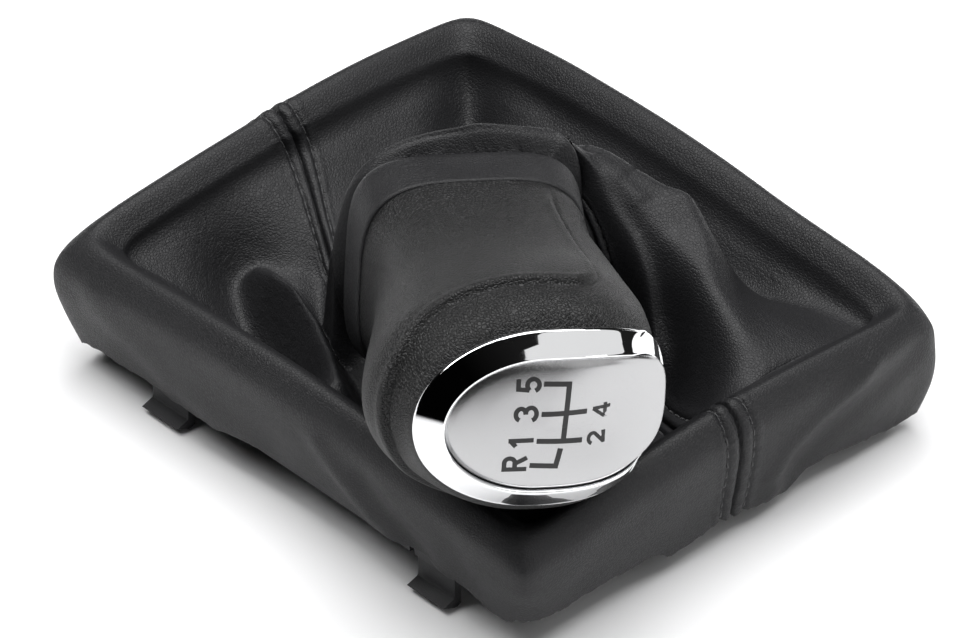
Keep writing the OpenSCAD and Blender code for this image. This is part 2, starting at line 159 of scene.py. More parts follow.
def noise1(x, seed, octaves=3):
    """Smooth value noise on a line."""
    r = np.random.default_rng(seed)
    out = np.zeros_like(x, dtype=float)
    amp, f = 1.0, 1.0
    for _ in range(octaves):
        tab = r.uniform(-1, 1, 256)
        xi = np.floor(x * f).astype(int)
        k = soft(x * f - xi)
        out += amp * (tab[xi % 256] * (1 - k) + tab[(xi + 1) % 256] * k)
        amp *= 0.5
        f *= 2.1
    return out


def noise2(x, y, seed, octaves=3):
    """Smooth value noise on a plane."""
    r = np.random.default_rng(seed)
    out = np.zeros(np.broadcast(x, y).shape)
    amp, f = 1.0, 1.0
    for _ in range(octaves):
        tab = r.uniform(-1, 1, (64, 64))
        xi, yi = np.floor(x * f).astype(int), np.floor(y * f).astype(int)
        kx, ky = soft(x * f - xi), soft(y * f - yi)
        corner = lambda i, j: tab[(xi + i) % 64, (yi + j) % 64]
        near = (corner(0, 0) * (1 - kx) + corner(1, 0) * kx) * (1 - ky)
        far = (corner(0, 1) * (1 - kx) + corner(1, 1) * kx) * ky
        out = out + amp * (near + far)
        amp *= 0.5
        f *= 2.1
    return out


# gaiter surface
# Four stations to a side of the frame. Each holds the height of the inner slope, the share of the way
# from the slope to the neck at which the basin lies, the height of the basin, how far the roll stands
# out from the neck and how far it lies back along it, the turn of the neck in degrees, and the hang.
SLOPE, SHARE, BASIN, OUT, BACKWARD, TURN, HANG = range(7)
STATIONS = np.array([
    [23, .50, 17, 0, 20, 0, .5],
    [23, .50, 14, 0, 18, 35, 0],
    [24, .50, 12, 2, 17, 65, 0],
    [30, .42, 36, 6, 16, 72, 0],
    [25, .42, 28, 5.6, 18, 64, 0],
    [24, .44, 18, 4.0, 18, 52, 0],
    [25, .44, 15, 2.6, 17, 34, .3],
    [25, .44, 17, 2.0, 17, 16, .8],
    [25, .42, 18, 1.2, 17, 3, 1],
    [25, .45, 19, .6, 17, 0, 1],
    [25, .52, 20, .6, 17, 0, 1],
    [25, .60, 18, .5, 17.5, 0, 1],
    [24, .66, 15, 0, 17.5, 0, 1],
    [22, .68, 13, .5, 17.5, 0, 1],
    [22, .62, 13, .5, 17.5, 0, 1],
    [22, .50, 16, .5, 18, 0, .8],
], float)
# height of the hand-cut hem, as place round the frame and height; a whole number is a corner
HEM = np.array([
    (.0, 10.1), (.03, 10.1), (.06, 9.3), (.09, 9.1), (.13, 9.6), (.18, 9.6), (.24, 8.9), (.27, 9.0),
    (.30, 9.5), (.33, 8.2), (.355, 5.7), (.39, 5.6), (.43, 6.4), (.48, 7.3), (.51, 6.5), (.56, 5.5),
    (.61, 4.9), (.655, 3.4), (.68, 5.6), (.70, 6.6), (.75, 7.0), (.79, 6.1), (.84, 5.8), (.88, 4.8),
    (.93, 3.6), (.99, 3.4), (1.035, 4.4), (1.045, 12.4), (1.08, 12.6), (1.11, 7), (1.25, 5), (1.75, 5.6),
    (2.25, 5), (2.8, 5.4), (2.95, 4.4), (3.0, 4.4), (3.03, 6.0), (3.06, 7.1), (3.12, 7.4), (3.25, 7.7),
    (3.33, 8.3), (3.36, 9.2), (3.39, 10.2), (3.45, 11.2), (3.51, 11.9), (3.57, 11.6), (3.61, 10.5),
    (3.66, 10.6), (3.72, 11.6), (3.76, 11.6), (3.81, 10.4), (3.87, 9.7), (3.90, 9.0), (3.93, 7.7),
    (3.96, 7.6), (3.985, 9.8)])
# how much higher than the source's even crown the crest stands, as place and height
CREST_LIFT = np.array([
    (.95, 0), (1.02, .4), (1.1, 1.7), (1.19, 1.4), (1.3, 1.0), (1.45, 2.0), (1.58, 2.5), (1.71, 2.6),
    (1.79, 2.9), (1.88, 2.1), (2.0, 1.5), (2.12, 2.0), (2.27, 2.3), (2.42, 2.0), (2.58, 1.4), (2.73, 1.5),
    (2.89, 1.8), (3.0, 1.0), (3.1, 0)])
# ridges and valleys: width, most that it lifts or sinks, height above which it does nothing, points
FOLDS = [
    (7.5, 24, 90, [(-4, 20.5, 58.5), (3.7, 22.5, 58.5), (12.5, 27.3, 54), (20.4, 28, 49.5),
                   (27.8, 25.6, 45)]),
    (5.2, 20, 90, [(23, 28, 48), (27.6, 26, 45), (39.2, 21.2, 39.8), (54.6, 17.2, 34), (59.5, 15, 31.5)]),
    (3.0, 18, 90, [(8.6, 17.4, 55), (12.9, 17.2, 52), (17, 17.2, 48), (22, 16.8, 43.5), (27.7, 14.7, 39),
                   (33.5, 11.4, 35)]),
    (7, 9, 40, [(20, 8, 12), (35, 6, 12), (48, 2, 14)]),
    (9, 30, 36, [(-46, -25, 9), (-37, -30, 6), (-27, -34, 6), (-15, -41, 10)]),
    (6, 30, 36, [(-38, -14, 13), (-27, -22, 9), (-16, -31, 10)]),
    (3.6, 30, 36, [(-45.8, -22.9, 18), (-39, -25, 23), (-31.4, -26.8, 25), (-20.3, -31, 25),
                   (-10.2, -36.5, 26), (-1, -43, 27)]),
    (6, 9, 90, [(-61, 50, 22), (-52, 42, 11), (-42, 33, 15)]),
]
# slack creases on the outer walls: height, width, then points as place round the frame and height
WALL_LINES = [
    (1.0, 2.6, [(.90, 31), (.85, 29.5), (.79, 24.5), (.70, 21.5), (.63, 17.5), (.60, 12), (.61, 7)]),
    (-.8, 3.4, [(.93, 24), (.85, 20), (.76, 16), (.68, 11)]),
    (-.7, 4.0, [(.22, 21), (.17, 14), (.15, 9)]),
    (.8, 3.0, [(.34, 18), (.31, 13), (.30, 9)]),
    (.9, 2.6, [(3.57, 24), (3.62, 18.5), (3.67, 14.5), (3.73, 11.5)]),
    (-.9, 3.4, [(3.66, 22), (3.71, 17), (3.78, 12)]),
    (.7, 4.5, [(3.10, 22), (3.25, 13), (3.40, 10)]),
    (-.6, 4.0, [(3.85, 20), (3.88, 13), (3.87, 8)]),
]
# places of the two seams, and how far from a seam its two rows of stitches lie
SEAM_FRONT, SEAM_BACK = 0.508, 2.5
STITCH_OUT = 3.3
# keeps the creases of one wall off the next one, in mm
APART = 500
# outlines of the neck, as half width, reach to the front and to the rear, and squareness
SQUARED = (22.2, 23.0, 23.3, COLLAR_SQUARENESS)
ROUND = (22.2, 23.0, 23.3, 2.5)
CUFF_END = (21.75, 23.0, 22.75, 3.4)
# turn of the frame's first side against the neck's own axes, in degrees
SIDE_TURN = 174.5


def bell(x, width):
    """A bump that is 1 high at nothing and fades over the width."""
    return np.exp(-(x / width) ** 2)


def square_point(u):
    """A point on the rounded square that is 2 wide, at the place u round it."""
    v = u % 4.0
    side = np.floor(v).astype(int)
    k = 2 * (v - side) - 1
    one = np.ones_like(k)
    x = np.choose(side, [one, -k, -one, k])
    y = np.choose(side, [k, one, -k, -one])
    r = (np.abs(x) ** SQUARE + np.abs(y) ** SQUARE) ** (1 / SQUARE)
    return x / r, y / r


def side_share(u):
    """The place along one side, from -1 to 1."""
    return (u % 1.0) * 2 - 1


def crown(u):
    """How much higher the frame's crest is along a side than at its corners."""
    return CROWN * (1 - side_share(u) ** 2) ** 1.4


def at_rim(u, out, z):
    """A point this far outside the frame's crest line, at the height z."""
    x, y = square_point(u)
    out = out + BULGE * side_share(u) ** 10 * np.clip((30 - z) / 4, 0, 1) * np.clip((z - 4) / 16, 0, 1)
    return np.stack([(HALF_LENGTH + out) * x, (HALF_WIDTH + out) * y, z + 0 * x], -1)


def station(u, column):
    """One column of the stations, smoothly between them."""
    return periodic(STATIONS[:, column], (u % 4) * len(STATIONS) / 4)


def at_neck(u, out, back, outline=SQUARED):
    """A point this far outside the neck's outline, this far back along the neck from the knob's foot."""
    x, y = square_point(u)
    t = np.arctan2(HALF_WIDTH * y, HALF_LENGTH * x) - np.radians(LEAN + SIDE_TURN - station(u, TURN))
    qx, qy = oval(t, *outline)
    k = 1 + out / np.hypot(qx, qy)
    return from_knob(np.stack([qx * k, qy * k, -back + 0 * qx], -1))


def crest_lift(u):
    """The lift of the crest, its corners rounded off over a short stretch."""
    near = [np.interp((u + d) % 4, CREST_LIFT[:, 0], CREST_LIFT[:, 1], period=4) for d in (-.04, 0, .04)]
    return sum(near) / len(near)


def controls(u):
    """The sixteen points that each column of the leather is drawn through, from hem to cuff."""
    slope_z, share, basin_z, out, back, hang = (
        station(u, column) for column in (SLOPE, SHARE, BASIN, OUT, BACKWARD, HANG))
    rise, lift = crown(u), crest_lift(u)
    # the leather bulges at the two corners that the picture shows from the side
    left, right = bell((u % 4) - 3.0, .05), bell((u % 4) - 1.0, .045)
    hem = np.interp(u % 4, HEM[:, 0], HEM[:, 1], period=4)
    low_wall = (hem + 20) / 2
    slope = at_rim(u, -8, slope_z + rise / 2)
    foot = at_neck(u, out + 2, back + 6)
    low = slope + (foot - slope) * share[:, None]
    basin = np.concatenate([low[:, :2], basin_z[:, None]], 1)
    roll = at_neck(u, out, back)
    rising = np.stack([.6 + .2 * hang, .6 + .2 * hang, .6 - .1 * hang], -1)
    return np.stack([
        at_rim(u, 1.2 + (hem - 4) * 0.2 + .8 * left + 1.6 * right, hem),
        at_rim(u, 2.9 + (low_wall - 12) * 0.17 + left + 1.4 * right, low_wall),
        at_rim(u, 4.3 + left, 20 + rise / 2 + lift / 2),
        at_rim(u, 4.1 + .4 * left - .5 * right, CREST - 5 + rise + lift),
        at_rim(u, 0.3, CREST + rise + lift),
        at_rim(u, -4.2, CREST - 3 + rise + lift),
        slope,
        basin,
        basin + (roll - basin) * rising,
        at_neck(u, out, back + .6, ROUND),
        at_neck(u, out * .8 + 1.2, back / 2 + 6.6, ROUND),
        at_neck(u, -NECK_DEPTH, NECK_LENGTH + 1.2),
        at_neck(u, -NECK_DEPTH, NECK_LENGTH - 1.2),
        at_neck(u, 0.5, 9.2),
        at_neck(u, 0.25, 4),
        at_neck(u, 0.3, -2.2, CUFF_END)])


def line_distance(p, pts):
    """Distance in plan from each place to a broken line, and the line's height at the nearest point."""
    pts = np.array(pts, float)
    best = np.full(p.shape[:-1], 1e9)
    z = np.zeros(p.shape[:-1])
    for a, b in zip(pts[:-1], pts[1:]):
        d = b[:2] - a[:2]
        t = np.clip(((p[..., :2] - a[:2]) @ d) / (d @ d), 0, 1)
        dist = np.linalg.norm(p[..., :2] - (a[:2] + t[..., None] * d), axis=-1)
        nearer = dist < best
        best = np.where(nearer, dist, best)
        z = np.where(nearer, a[2] + t * (b[2] - a[2]), z)
    return best, z


def gaiter_points(u, v):
    """Outer face of the leather at the places u round the frame and v from hem (0) to cuff (15)."""
    c = controls(u)
    i = np.clip(np.floor(v).astype(int), 0, len(c) - 1)
    row = lambda k: c[np.clip(k, 0, len(c) - 1)]
    p = cubic(row(i - 1), row(i), row(i + 1), row(i + 2), (v - i)[:, None, None])
    # the folds work on the loose leather between the inner slope and the roll
    mask = (soft((v - 5.2) / 1.4) * soft((9.4 - v) / 1.6))[:, None]
    for width, reach, cap, pts in FOLDS:
        d, z = line_distance(p, pts)
        rise = z - p[..., 2]
        low = soft((cap - p[..., 2]) / 10)
        p[..., 2] += mask * low * bell(d, width) * rise / np.sqrt(1 + (rise / reach) ** 2)
    return p


def grid_normals(p):
    a = np.gradient(p, axis=1)
    b = np.gradient(p, axis=0)
    n = np.cross(a, b)
    return n / (np.linalg.norm(n, axis=-1, keepdims=True) + 1e-9)


def seam_mm(u):
    """Signed distance from the nearer seam, along the frame's edge."""
    front = (u - SEAM_FRONT + 2) % 4 - 2
    back = (u - SEAM_BACK + 2) % 4 - 2
    return np.where(np.abs(front) < np.abs(back), front, back) * 2 * HALF_WIDTH


def along_side(place):
    """Millimetres along the frame's side, with the four sides far apart."""
    side = np.floor(place)
    return side * APART + (place % 1) * np.where(side % 2 == 0, 2 * HALF_WIDTH, 2 * HALF_LENGTH)


def leather_detail(u, v, p):
    """Height of the small folds and of the sewn seam above the smooth surface."""
    uu, vv = np.meshgrid(u, v)
    s = seam_mm(uu)
    sew = soft((9.3 - vv) / 1.0)
    # a cleft between two soft ridges, then a groove for the stitches and a low swell outside it
    wander = 0.22 * noise1(vv * 3.1, 51, 2)
    ridge = 0.42 * bell(np.abs(s) - 1.7, 1.1) * (1 + 0.25 * noise1(vv * 9, 52, 2))
    seam = -0.95 * bell(s - wander, 0.42) + ridge
    seam += -0.42 * bell(np.abs(s) - STITCH_OUT, 0.42) + 0.16 * bell(np.abs(s) - 4.6, 0.9)
    h = seam * sew
    # small puckers where the stitches draw the leather in
    h += sew * 0.12 * bell(np.abs(s) - 3.9, 1.6) * noise1(vv * 16, 53, 2)
    # slack on the outer walls
    wall = soft((3.7 - vv) / 1.0)
    h += wall * 0.3 * noise2(uu * 7 + 3, p[..., 2] / 16, 11, 2)
    place = np.stack([along_side(uu), p[..., 2]], -1)
    for height, width, pts in WALL_LINES:
        line = [(along_side(a), b, 0) for a, b in pts]
        d, _ = line_distance(place, line)
        h += wall * height * bell(d, width)
    # puffs and dents of the loose leather inside
    basin = soft((vv - 5.6) / 0.9) * soft((9.6 - vv) / 1.2)
    h += basin * 0.42 * noise2(p[..., 0] / 15 + 9, p[..., 1] / 15 + 5, 21, 2)
    # gathers that the strap draws into the neck, deepest at the strap
    gather = soft((vv - 10.2) / 1.2) * soft((12.7 - vv) / 0.8)
    h += gather * 0.4 * noise1(uu * 12, 31, 2)
    return h


PLACES = 127


def panel_places():
    """Places along half a panel, closer at the seam and at the corner."""
    share = np.linspace(0, 1, 1200)
    density = 1 + 6 * bell(share, 0.012) + 5 * bell(share, 0.05) + 2.0 * bell(share - 0.5, 0.06)
    count = np.cumsum(density)
    count = (count - count[0]) / (count[-1] - count[0])
    return np.interp(np.linspace(0, 1, PLACES), count, share)


HALF = panel_places()
# rows from hem to cuff, closest in the loose leather
ROWS = np.concatenate([np.linspace(0, 3, 34), np.linspace(3, 6, 40)[1:], np.linspace(6, 9.5, 90)[1:],
                       np.linspace(9.5, 12.6, 40)[1:], np.linspace(12.6, 15, 12)[1:]])


def panel_grid(start, end):
    """Places, points and normals of one panel, between two seams."""
    share = np.concatenate([HALF, (2 - HALF[::-1])[1:]]) / 2
    u = start + share * (end - start)
    ext = np.concatenate([[u[0] - 0.002], u, [u[-1] + 0.002]])
    p = gaiter_points(ext, ROWS)
    h = leather_detail(ext, ROWS, p)
    p = p + grid_normals(p) * h[..., None]
    # the raw-cut hem is a little ragged
    edge = soft((1.2 - ROWS) / 1.2)[:, None]
    p[..., 2] += edge * (0.3 * noise1(ext * 34, 41, 3) + 0.15 * noise1(ext * 110, 43, 2))[None]
    n = grid_normals(p)
    return u, p[:, 1:-1], n[:, 1:-1]


def shell(name, p, n, thickness):
    """A closed sheet with the grid p as its outer face."""
    r, c = p.shape[:2]
    outer, inner = p.reshape(-1, 3), (p - n * thickness).reshape(-1, 3)
    k = r * c
    idx = np.arange(k).reshape(r, c)
    q = np.stack([idx[:-1, :-1], idx[:-1, 1:], idx[1:, 1:], idx[1:, :-1]], -1).reshape(-1, 4)
    ring = np.concatenate([idx[0, :-1], idx[:-1, -1], idx[-1, ::-1][:-1], idx[::-1, 0][:-1]])
    nxt = np.roll(ring, -1)
    faces = q.tolist() + (q[:, ::-1] + k).tolist() + np.stack([nxt, ring, ring + k, nxt + k], -1).tolist()
    return add_mesh(name, np.concatenate([outer, inner]), faces)


def blend_leather(ob):
    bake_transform(ob)


def rest_attribute(ob):
    """Keeps each point's place at rest, so that the grain stays on the leather when it bends."""
    co = np.zeros(len(ob.data.vertices) * 3, np.float32)
    ob.data.vertices.foreach_get("co", co)
    at = ob.data.attributes.new("rest_place", "FLOAT_VECTOR", "POINT")
    at.data.foreach_set("vector", co)


def point_attribute(ob, name, values):
    at = ob.data.attributes.new(name, "FLOAT", "POINT")
    at.data.foreach_set("value", np.asarray(values, np.float32).ravel())


def surface_area(p):
    """Area in square metres of a grid of points in mm."""
    step_u = np.linalg.norm(np.diff(p, axis=1), axis=-1)
    step_v = np.linalg.norm(np.diff(p, axis=0), axis=-1)
    return float((0.5 * (step_u[1:] + step_u[:-1]) * 0.5 * (step_v[:, 1:] + step_v[:, :-1])).sum()) * MM * MM


def make_panel(node_name, start, end):
    """One leather panel, and the area of its outer face."""
    u, p, n = panel_grid(start, end)
    ob = shell(node_name.replace("gaiter_panel", "gaiter_leather"), p, n, LEATHER)
    rest_attribute(ob)
    # most wrinkled in the slack leather on the left
    loose = soft((ROWS - 5.4) / 0.8) * soft((8.8 - ROWS) / 1.2)
    wrinkled = np.outer(loose, 0.2 + 0.8 * bell((u - 3.2 + 2) % 4 - 2, 0.55)).ravel()
    point_attribute(ob, "wrinkled", np.concatenate([wrinkled, wrinkled]))
    blend_leather(ob)
    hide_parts(node_name)
    return ob, surface_area(p)


STITCH, STITCH_GAP = 2.9, 0.6
# height of a stitch's points above the leather: both ends dive into it
STITCH_LIFT = np.array([-0.30, 0.02, 0.09, 0.11, 0.09, 0.02, -0.30])
THREAD_RADIUS, THREAD_END, THREAD_SIDES = 0.21, 0.14, 6


def stitch_row(centre):
    """The stitches along one row: centre line, normals and places from hem to cuff of each."""
    near = centre + np.array([-0.004, -0.002, 0, 0.002, 0.004])
    v = np.linspace(0.15, 9.0, 800)
    grid = gaiter_points(near, v)
    grid = grid + grid_normals(grid) * leather_detail(near, v, grid)[..., None]
    normals = grid_normals(grid)[:, 2]
    line = grid[:, 2]
    run = np.concatenate([[0], np.cumsum(np.linalg.norm(np.diff(line, axis=0), axis=1))])
    row = []
    for k in range(int(run[-1] / STITCH) - 1):
        along = np.linspace(k * STITCH + STITCH_GAP / 2, (k + 1) * STITCH - STITCH_GAP / 2, len(STITCH_LIFT))
        pts = np.stack([np.interp(along, run, line[:, j]) for j in range(3)], -1)
        nr = np.stack([np.interp(along, run, normals[:, j]) for j in range(3)], -1)
        row.append((pts + nr * STITCH_LIFT[:, None], nr, np.interp(along, run, v)))
    return row


def thread_mesh(stitches):
    """Every stitch as a closed rod, and the place from hem to cuff of each of its points."""
    verts, faces, places = [], [], []
    for pts, nr, vv in stitches:
        base, last = len(verts), len(pts) - 1
        for i in range(len(pts)):
            t = pts[min(i + 1, last)] - pts[max(i - 1, 0)]
            t /= np.linalg.norm(t)
            side = np.cross(t, nr[i])
            side /= np.linalg.norm(side)
            up = np.cross(side, t)
            radius = THREAD_RADIUS if 0 < i < last else THREAD_END
            for j in range(THREAD_SIDES):
                a = 2 * math.pi * j / THREAD_SIDES
                verts.append(pts[i] + (side * math.cos(a) + up * math.sin(a)) * radius)
                places.append(vv[i])
        for i in range(last):
            for j in range(THREAD_SIDES):
                a = base + i * THREAD_SIDES + j
                b = base + i * THREAD_SIDES + (j + 1) % THREAD_SIDES
                faces.append([a, b, b + THREAD_SIDES, a + THREAD_SIDES])
        faces.append([base + j for j in reversed(range(THREAD_SIDES))])
        faces.append([base + last * THREAD_SIDES + j for j in range(THREAD_SIDES)])
    return verts, faces, np.array(places)


gaiter = []
stitches = []
for node_name, start, end in (("gaiter_panel_right", SEAM_FRONT, SEAM_BACK),
                              ("gaiter_panel_left", SEAM_BACK, 4 + SEAM_FRONT)):
    gaiter.append(make_panel(node_name, start, end))
    # a row of stitches along both sides of each seam
    for side, seam in ((1, start), (-1, end)):
        stitches += stitch_row(seam + side * STITCH_OUT / (2 * HALF_WIDTH))

verts, faces, places = thread_mesh(stitches)
thread = add_mesh("seam_thread", verts, faces)
rest_attribute(thread)
blend_leather(thread)


# knob
# half width, front reach and rear reach of the head, height of the plate, and the grip's wall
HEAD_HALF, HEAD_FRONT, HEAD_REAR, TOP = 24.5, 32.4, 27.4, 69.6
WALL = 2.8
# Each station of the knob holds the half width, the height at the sides, the reach and the height at
# the front, the same at the rear, and the squareness at the front and at the rear.
SEAT = [18.8, 65, 25.4, 65.8, 26.8, 52.2, 2, 2.6]
GRIP = [
    [21.9, 0, 23.2, 0, 22.6, 0, 3.4, 3.4],
    [21.6, 4, 22.5, 4, 23.1, 4, 3.3, 3.3],
    [21, 12, 22.2, 12, 24.1, 12, 3, 3.1],
    [21.2, 23, 24, 22, 25.7, 23, 2.7, 2.9],
    [22.5, 34, 27.2, 33, 26.8, 34, 2.4, 2.7],
    [HEAD_HALF - 0.5, 43, HEAD_FRONT - 1.5, 44.5, HEAD_REAR - 0.1, 41.5, 2.05, 2.6],
    [HEAD_HALF, 49, HEAD_FRONT, 52, HEAD_REAR, 44.5, 1.97, 2.6],
    [HEAD_HALF - 0.2, 53.6, HEAD_FRONT - 1.6, 57, HEAD_REAR - 0.1, 46.6, 1.97, 2.6],
    [HEAD_HALF - 0.9, 58.8, HEAD_FRONT - 4.2, 61.2, HEAD_REAR - 0.2, 49.2, 2, 2.6],
    [HEAD_HALF - 2.6, 62.8, HEAD_FRONT - 5.8, 64.2, HEAD_REAR - 0.4, 51, 2, 2.6],
    SEAT,
]


def rings(rows, sub, around, linear=()):
    """Rings of points between the stations, along smooth curves; spans named in linear are straight."""
    rows = np.array(rows, float)
    out = []
    for i in range(len(rows) - 1):
        a, b, c, d = (rows[min(max(k, 0), len(rows) - 1)] for k in (i - 1, i, i + 1, i + 2))
        for j in range(sub):
            f = j / sub
            out.append(b + (c - b) * f if i in linear else cubic(a, b, c, d, f))
    out.append(rows[-1])
    half, side_z, front, front_z, rear, rear_z, front_n, rear_n = np.array(out).T[:, :, None]
    t = np.linspace(0, 2 * math.pi, around, endpoint=False)[None]
    c, s = np.cos(t), np.sin(t)
    ahead = s >= 0
    n = np.where(ahead, front_n, rear_n)
    x = half * np.sign(c) * np.abs(c) ** (2 / n)
    y = np.where(ahead, front, rear) * np.sign(s) * np.abs(s) ** (2 / n)
    z = side_z + (np.where(ahead, front_z, rear_z) - side_z) * s * s
    return np.stack([x, y, z], -1)


def inset(row):
    """The station a wall's thickness further in."""
    return [value - WALL if k in (0, 2, 4) else value for k, value in enumerate(row)]


def even_angles(p):
    """Spreads the points of each ring evenly along it."""
    out = np.empty_like(p)
    n = p.shape[1]
    for k in range(len(p)):
        q = np.concatenate([p[k], p[k][:1]])
        s = np.concatenate([[0], np.cumsum(np.linalg.norm(np.diff(q, axis=0), axis=1))])
        g = np.linspace(0, s[-1], n, endpoint=False)
        out[k] = np.stack([np.interp(g, s, q[:, j]) for j in range(3)], -1)
    return out


def tube_faces(r, c, closed=False):
    """Faces of r rings of c points; closed joins the last ring to the first."""
    idx = np.arange(r * c).reshape(r, c)
    j2 = np.roll(idx, -1, axis=1)
    q = np.stack([idx[:-1], j2[:-1], j2[1:], idx[1:]], -1).reshape(-1, 4).tolist()
    if closed:
        q += np.stack([idx[-1], j2[-1], j2[0], idx[0]], -1).reshape(-1, 4).tolist()
    return q


def ring_normals(p):
    a = np.roll(p, -1, axis=1) - np.roll(p, 1, axis=1)
    b = np.gradient(p, axis=0)
    n = np.cross(a, b)
    return n / (np.linalg.norm(n, axis=-1, keepdims=True) + 1e-9)


# the grained panel stands a step above the ring below the bezel and the spine behind
PANEL_Y = np.array([-30, -5, 5, 16, 20, 23, 25.5, 27.5, 33], float)
PANEL_Z = np.array([53.4, 53.4, 52.9, 53, 53.6, 54.8, 56.2, 57.6, 59.2], float)
PANEL_REAR, PANEL_ROUND = -14.0, 6.5


def panel_edge(p):
    """Distance inside the raised panel's edge, less than nothing outside it."""
    top = np.interp(p[..., 1], PANEL_Y, PANEL_Z) - p[..., 2]
    rear = p[..., 1] - PANEL_REAR
    r = PANEL_ROUND
    corner = r - np.hypot(np.clip(r - top, 0, None), np.clip(r - rear, 0, None))
    return np.where((top < r) & (rear < r), corner, np.minimum(top, rear))


def knob_piece(name, rows, faces, node_name):
    """A piece that takes the place of a solid of the knob and moves with it."""
    ob = add_mesh(name, from_knob(rows).reshape(-1, 3), faces)
    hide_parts(node_name)
    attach(ob, "knob")
    return ob


GRIP_AROUND = 360


def make_grip():
    outer = even_angles(rings(GRIP, 30, GRIP_AROUND))
    edge = panel_edge(outer)
    above_foot = soft((outer[..., 2] - 3) / 9)
    step = soft(edge / 0.8 + 0.5)
    relief = -0.95 * (1 - step) + 0.26 * bell(edge - 1.2, 0.9) - 0.34 * bell(edge + 0.75, 0.42)
    outer = outer + ring_normals(outer) * (relief * above_foot)[..., None]
    below_seat = [HEAD_HALF - 4, 52, HEAD_FRONT - 7.5, 56, HEAD_REAR - 3.2, 47, 2, 2.6]
    inner_rows = [inset(SEAT), below_seat, inset(GRIP[3]), inset(GRIP[0])]
    inner = even_angles(rings(inner_rows, 4, GRIP_AROUND))
    full = np.concatenate([outer, inner])
    faces = tube_faces(len(full), GRIP_AROUND, closed=True)
    return knob_piece("grip_body", full, faces, "knob_grip")


grip = make_grip()

BEZEL = [
    [18.8, 65.05, 25.4, 65.85, 26.8, 52.25, 2, 2.6],
    [19.0, 65.3, 25.6, 66.1, 26.9, 52.6, 2, 2.65],
    [19.05, 65.9, 25.62, 66.65, 26.95, 53.2, 2, 2.7],
    [18.92, 66.28, 25.47, 67.0, 26.95, 53.9, 2, 2.72],
    [18.7, 66.5, 25.22, 67.2, 26.9, 54.6, 2, 2.75],
    [16.65, 67.92, 22.8, 68.5, 26.7, 56.0, 2, 2.8],
    [14.8, 69.1, 20.65, 69.6, 26.4, 57.4, 2, 2.9],
    [14.45, 69.28, 20.25, 69.78, 26.2, 57.9, 2, 3],
    [14.1, 69.15, 19.9, 69.65, 26.05, 58.0, 2, 3],
    [14.0, 68.6, 19.8, 69.1, 26.0, 57.4, 2, 3],
    [14.0, 67.2, 19.8, 67.7, 25.8, 56.0, 2, 3],
]
# behind, the bezel's lip dips under the plate, which reaches over it to the edge
REAR_HALF = 14.6


def rear_share(p, fade):
    """1 at the rear of the bezel and nothing elsewhere, with soft ends."""
    return soft((REAR_HALF - np.abs(p[..., 0])) / fade + 0.5) * soft((-17 - p[..., 1]) / 5)


BEZEL_AROUND = 400


def make_bezel():
    outer = even_angles(rings(BEZEL, 7, BEZEL_AROUND, linear=(4, 5)))
    # the lower side slopes more steeply
    across_band = np.interp(np.arange(len(outer)), [7, 16, 28, 42], [0, 1, 1, 0])[:, None]
    low = soft((-4 - outer[..., 0]) / 8) * across_band
    outer[..., 2] -= 0.95 * low * soft((outer[..., 2] - 58) / 4)
    over = np.clip(outer[..., 2] - 54.6, 0, None)
    outer[..., 2] -= rear_share(outer, 2.0) * np.minimum(over, 1.6)
    inner = even_angles(rings([BEZEL[-1], [16, 65.1, 22.6, 65.9, 24, 52.3, 2, 2.6]], 1, BEZEL_AROUND))[1:]
    full = np.concatenate([outer, inner])
    faces = tube_faces(len(full), BEZEL_AROUND, closed=True)
    return knob_piece("bezel_ring", full, faces, "chrome_bezel")


bezel = make_bezel()

PLATE = [
    [13.9, TOP - 1.9, 19.7, TOP - 2.0, 25.7, 55.0, 2, 2.9],
    [13.85, TOP - 1.4, 19.65, TOP - 1.9, 26.0, 56.4, 2, 2.9],
    [13.5, TOP - 1.0, 19.3, TOP - 1.58, 25.9, 57.6, 2, 2.9],
    [12.9, TOP - 0.72, 18.6, TOP - 1.28, 25.1, 58.9, 2, 2.85],
    [12.0, TOP - 0.48, 17.2, TOP - 0.92, 23.4, 60.7, 2, 2.85],
    [10.3, TOP - 0.25, 14.5, TOP - 0.5, 20, 63.4, 2, 2.75],
    [8.4, TOP - 0.1, 11.6, TOP - 0.18, 16.4, 65.5, 2, 2.6],
    [5.8, TOP, 7.8, TOP + 0.04, 11.5, 67.6, 2, 2.4],
    [3.8, TOP + 0.04, 4.8, TOP + 0.1, 7.2, 68.75, 2, 2.2],
    [1.8, TOP + 0.08, 2.2, TOP + 0.12, 3.3, 69.45, 2, 2.1],
    [0.15, TOP + 0.1, 0.15, TOP + 0.1, 0.15, TOP + 0.1, 2, 2],
]
PLATE_ROWS, PLATE_AROUND = 6, 260


def plate_points():
    points = rings(PLATE, PLATE_ROWS, PLATE_AROUND)
    # the plate's lower rows reach over the bezel's lip at the rear
    lower_rows = soft((24.0 - np.arange(len(points)))[:, None] / 14)
    reach = rear_share(points, 3.0) * lower_rows * soft((-19 - points[..., 1]) / 6)
    points[..., 1] -= 0.85 * reach
    return points


plate_grid = plate_points()
faces = tube_faces(len(plate_grid), PLATE_AROUND)
last = (len(plate_grid) - 1) * PLATE_AROUND
faces.append([last + j for j in range(PLATE_AROUND)])
faces.append([j for j in reversed(range(PLATE_AROUND))])
plate = knob_piece("shift_plate_top", plate_grid, faces, "shift_plate")


# printed shift pattern
# the plate's face without its rounded edge, which is three stations wide
plate_face = plate_grid[3 * PLATE_ROWS:].reshape(-1, 3)
# half the thickness of the print, and how much higher each stroke lies than the one before
PRINT, STROKE_STEP = 0.06, 0.004


